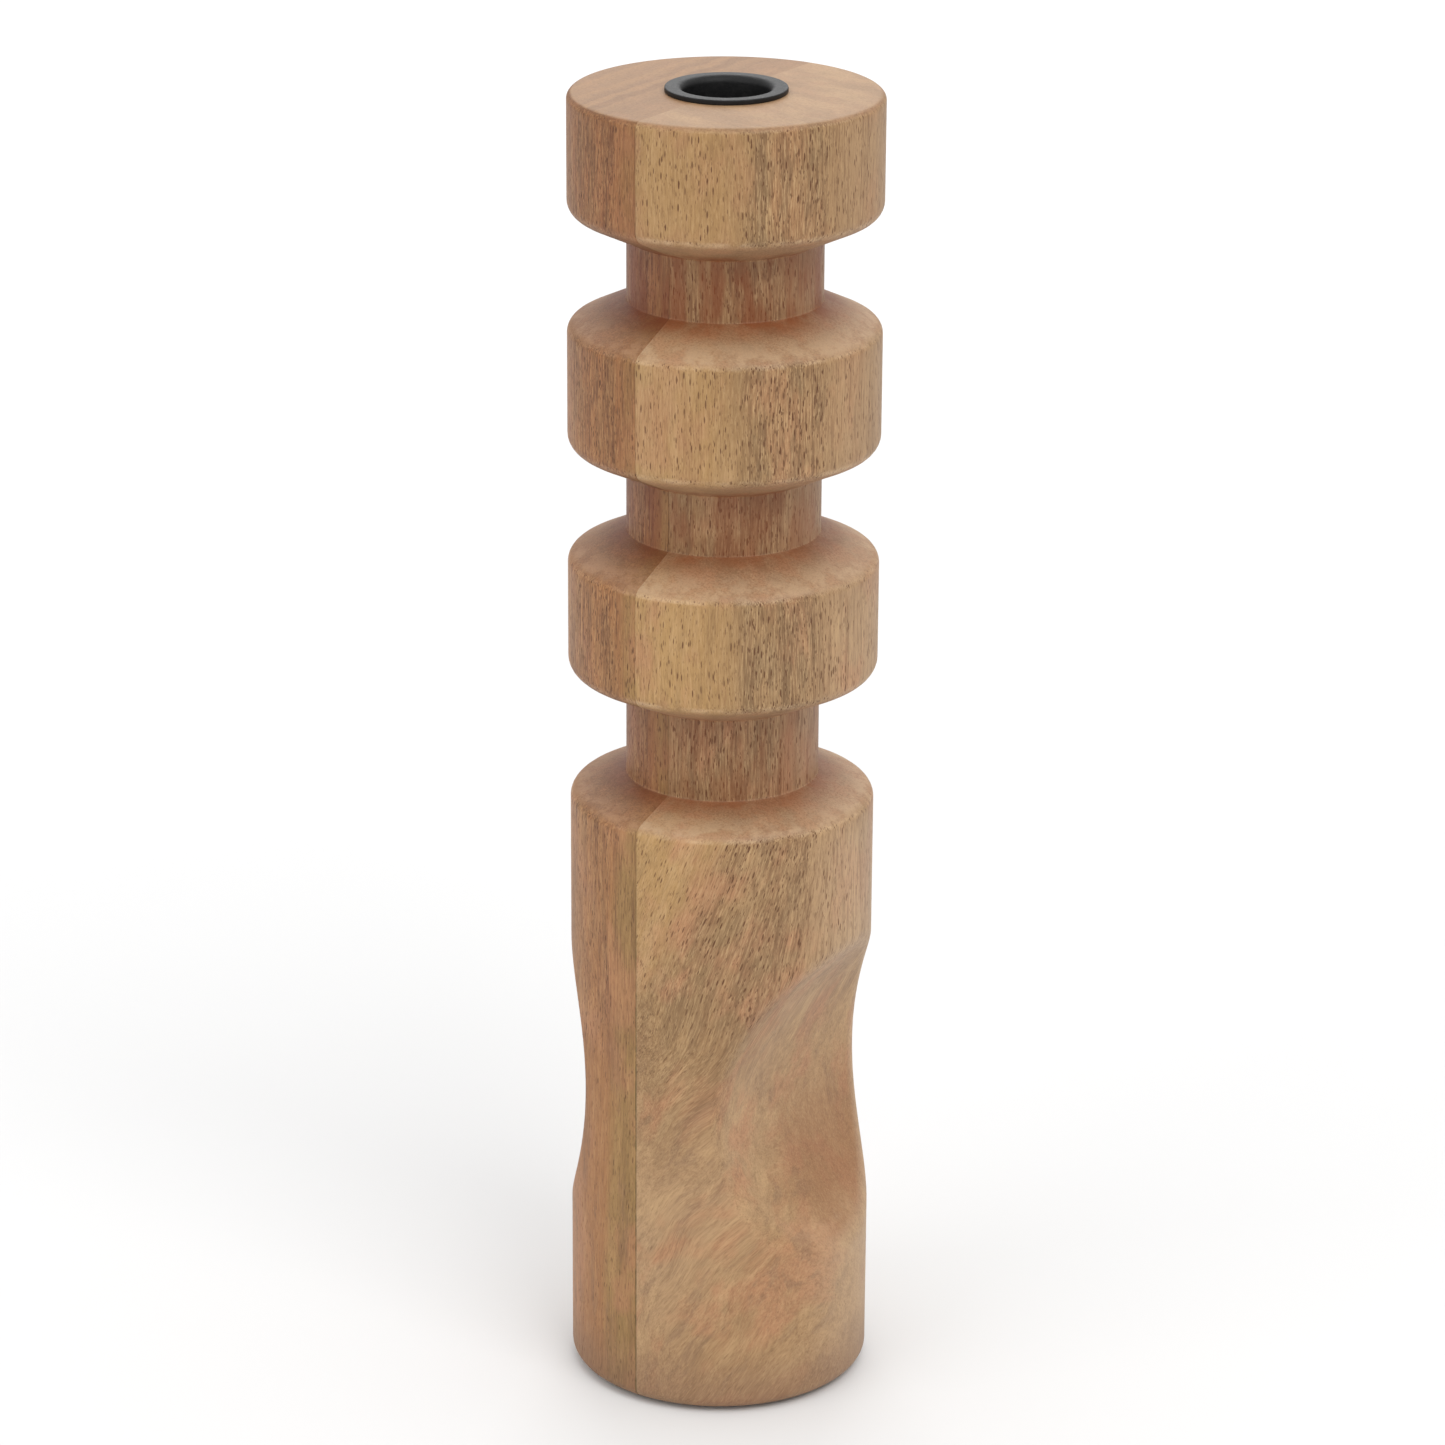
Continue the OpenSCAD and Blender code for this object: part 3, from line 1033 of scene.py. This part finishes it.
# %% [markdown]
# ## Floor, light and camera
# The piece stands on a plain pale floor under broad, soft light, seen from a little above.

# %% Floor
FLOOR_TONE = 0.79
FLOOR_REACH = 12.0


def pale_floor():
    f = Finish("pale floor")
    f.surface(Base_Color=(FLOOR_TONE, FLOOR_TONE, FLOOR_TONE, 1.0), Roughness=0.9)
    return f.material


floor_mesh = bpy.data.meshes.new("floor")
corners = [(-FLOOR_REACH, -FLOOR_REACH, 0), (FLOOR_REACH, -FLOOR_REACH, 0),
           (FLOOR_REACH, FLOOR_REACH, 0), (-FLOOR_REACH, FLOOR_REACH, 0)]
floor_mesh.from_pydata(corners, [], [(0, 1, 2, 3)])
floor_mesh.materials.append(pale_floor())
floor = bpy.data.objects.new("floor", floor_mesh)
bpy.context.scene.collection.objects.link(floor)
print("floor:", 2 * FLOOR_REACH, "m wide")

# %% [markdown]
# The sky grows brighter towards the zenith, as a room with a lit ceiling does. Light from above
# leaves the necks and the inner parts of the sloping faces in soft shade, which is what makes
# the turned shape read. Three large soft boxes give it a direction: the strongest stands to the
# right, a weak one lifts the left front, and one behind lights the edges.

# %% Sky
class Sky(Finish):
    """The light all round, wired in the same way as a finish."""

    def __init__(self, name):
        self.world = bpy.data.worlds.new(name)
        self.world.use_nodes = True
        self.tree = self.world.node_tree
        self.shader = self.tree.nodes["Background"]


HORIZON_LIGHT = 0.62
ZENITH_GAIN = 0.45
sky = Sky("studio sky")
rise = sky.parts(sky.add("TexCoord", None, None, 0))[2]
sky.surface(Color=(1.0, 1.0, 1.0, 1.0), Strength=HORIZON_LIGHT + ZENITH_GAIN * rise.clamp(0.0, 1.0))
bpy.context.scene.world = sky.world
print("sky:", HORIZON_LIGHT, "at the horizon,", HORIZON_LIGHT + ZENITH_GAIN, "overhead")
bpy.context.scene.view_settings.view_transform = "Standard"

# %% Soft box
def soft_box(name, place_at, aim, size, watts):
    """A square area light that looks at a point."""
    data = bpy.data.lights.new(name, "AREA")
    data.size = size
    data.energy = watts
    lamp = bpy.data.objects.new(name, data)
    lamp.location = place_at
    lamp.rotation_euler = (Vector(aim) - Vector(place_at)).to_track_quat("-Z", "Y").to_euler()
    bpy.context.scene.collection.objects.link(lamp)
    print(f"{name}: {watts} W, {lamp.location.length:.2f} m away")


middle = Vector((0, 0, 0.5 * WOOD_TOP * MM))
soft_box("key", (1.36, -0.62, 1.90), middle, 1.2, 17.0)
soft_box("fill", (-0.60, -1.70, 1.10), middle, 1.4, 7.0)
soft_box("back", (-1.05, 1.58, 1.30), middle, 1.4, 11.0)

# %% Camera
CAMERA_TURN = math.radians(33.68)
CAMERA_PITCH = math.radians(20.086)
CAMERA_ROLL = math.radians(0.36)
CAMERA_AWAY = 1.3045
CAMERA_HEIGHT = 0.6575
LENS_MM = 133.12
forward = Vector((-math.sin(CAMERA_TURN) * math.cos(CAMERA_PITCH),
                  math.cos(CAMERA_TURN) * math.cos(CAMERA_PITCH),
                  -math.sin(CAMERA_PITCH)))
level = Vector((math.cos(CAMERA_TURN), math.sin(CAMERA_TURN), 0))
upward = level.cross(forward)
right_hand = level * math.cos(CAMERA_ROLL) + upward * math.sin(CAMERA_ROLL)
upward = upward * math.cos(CAMERA_ROLL) - level * math.sin(CAMERA_ROLL)
camera_data = bpy.data.cameras.new("camera")
camera_data.lens = LENS_MM
camera_data.sensor_width = 36.0
camera = bpy.data.objects.new("camera", camera_data)
turn = Matrix((right_hand, upward, -forward)).transposed().to_4x4()
spot = Vector((CAMERA_AWAY * math.sin(CAMERA_TURN), -CAMERA_AWAY * math.cos(CAMERA_TURN),
               CAMERA_HEIGHT))
camera.matrix_world = Matrix.Translation(spot) @ turn
bpy.context.scene.collection.objects.link(camera)
bpy.context.scene.camera = camera
print("camera at", [round(v, 3) for v in spot])
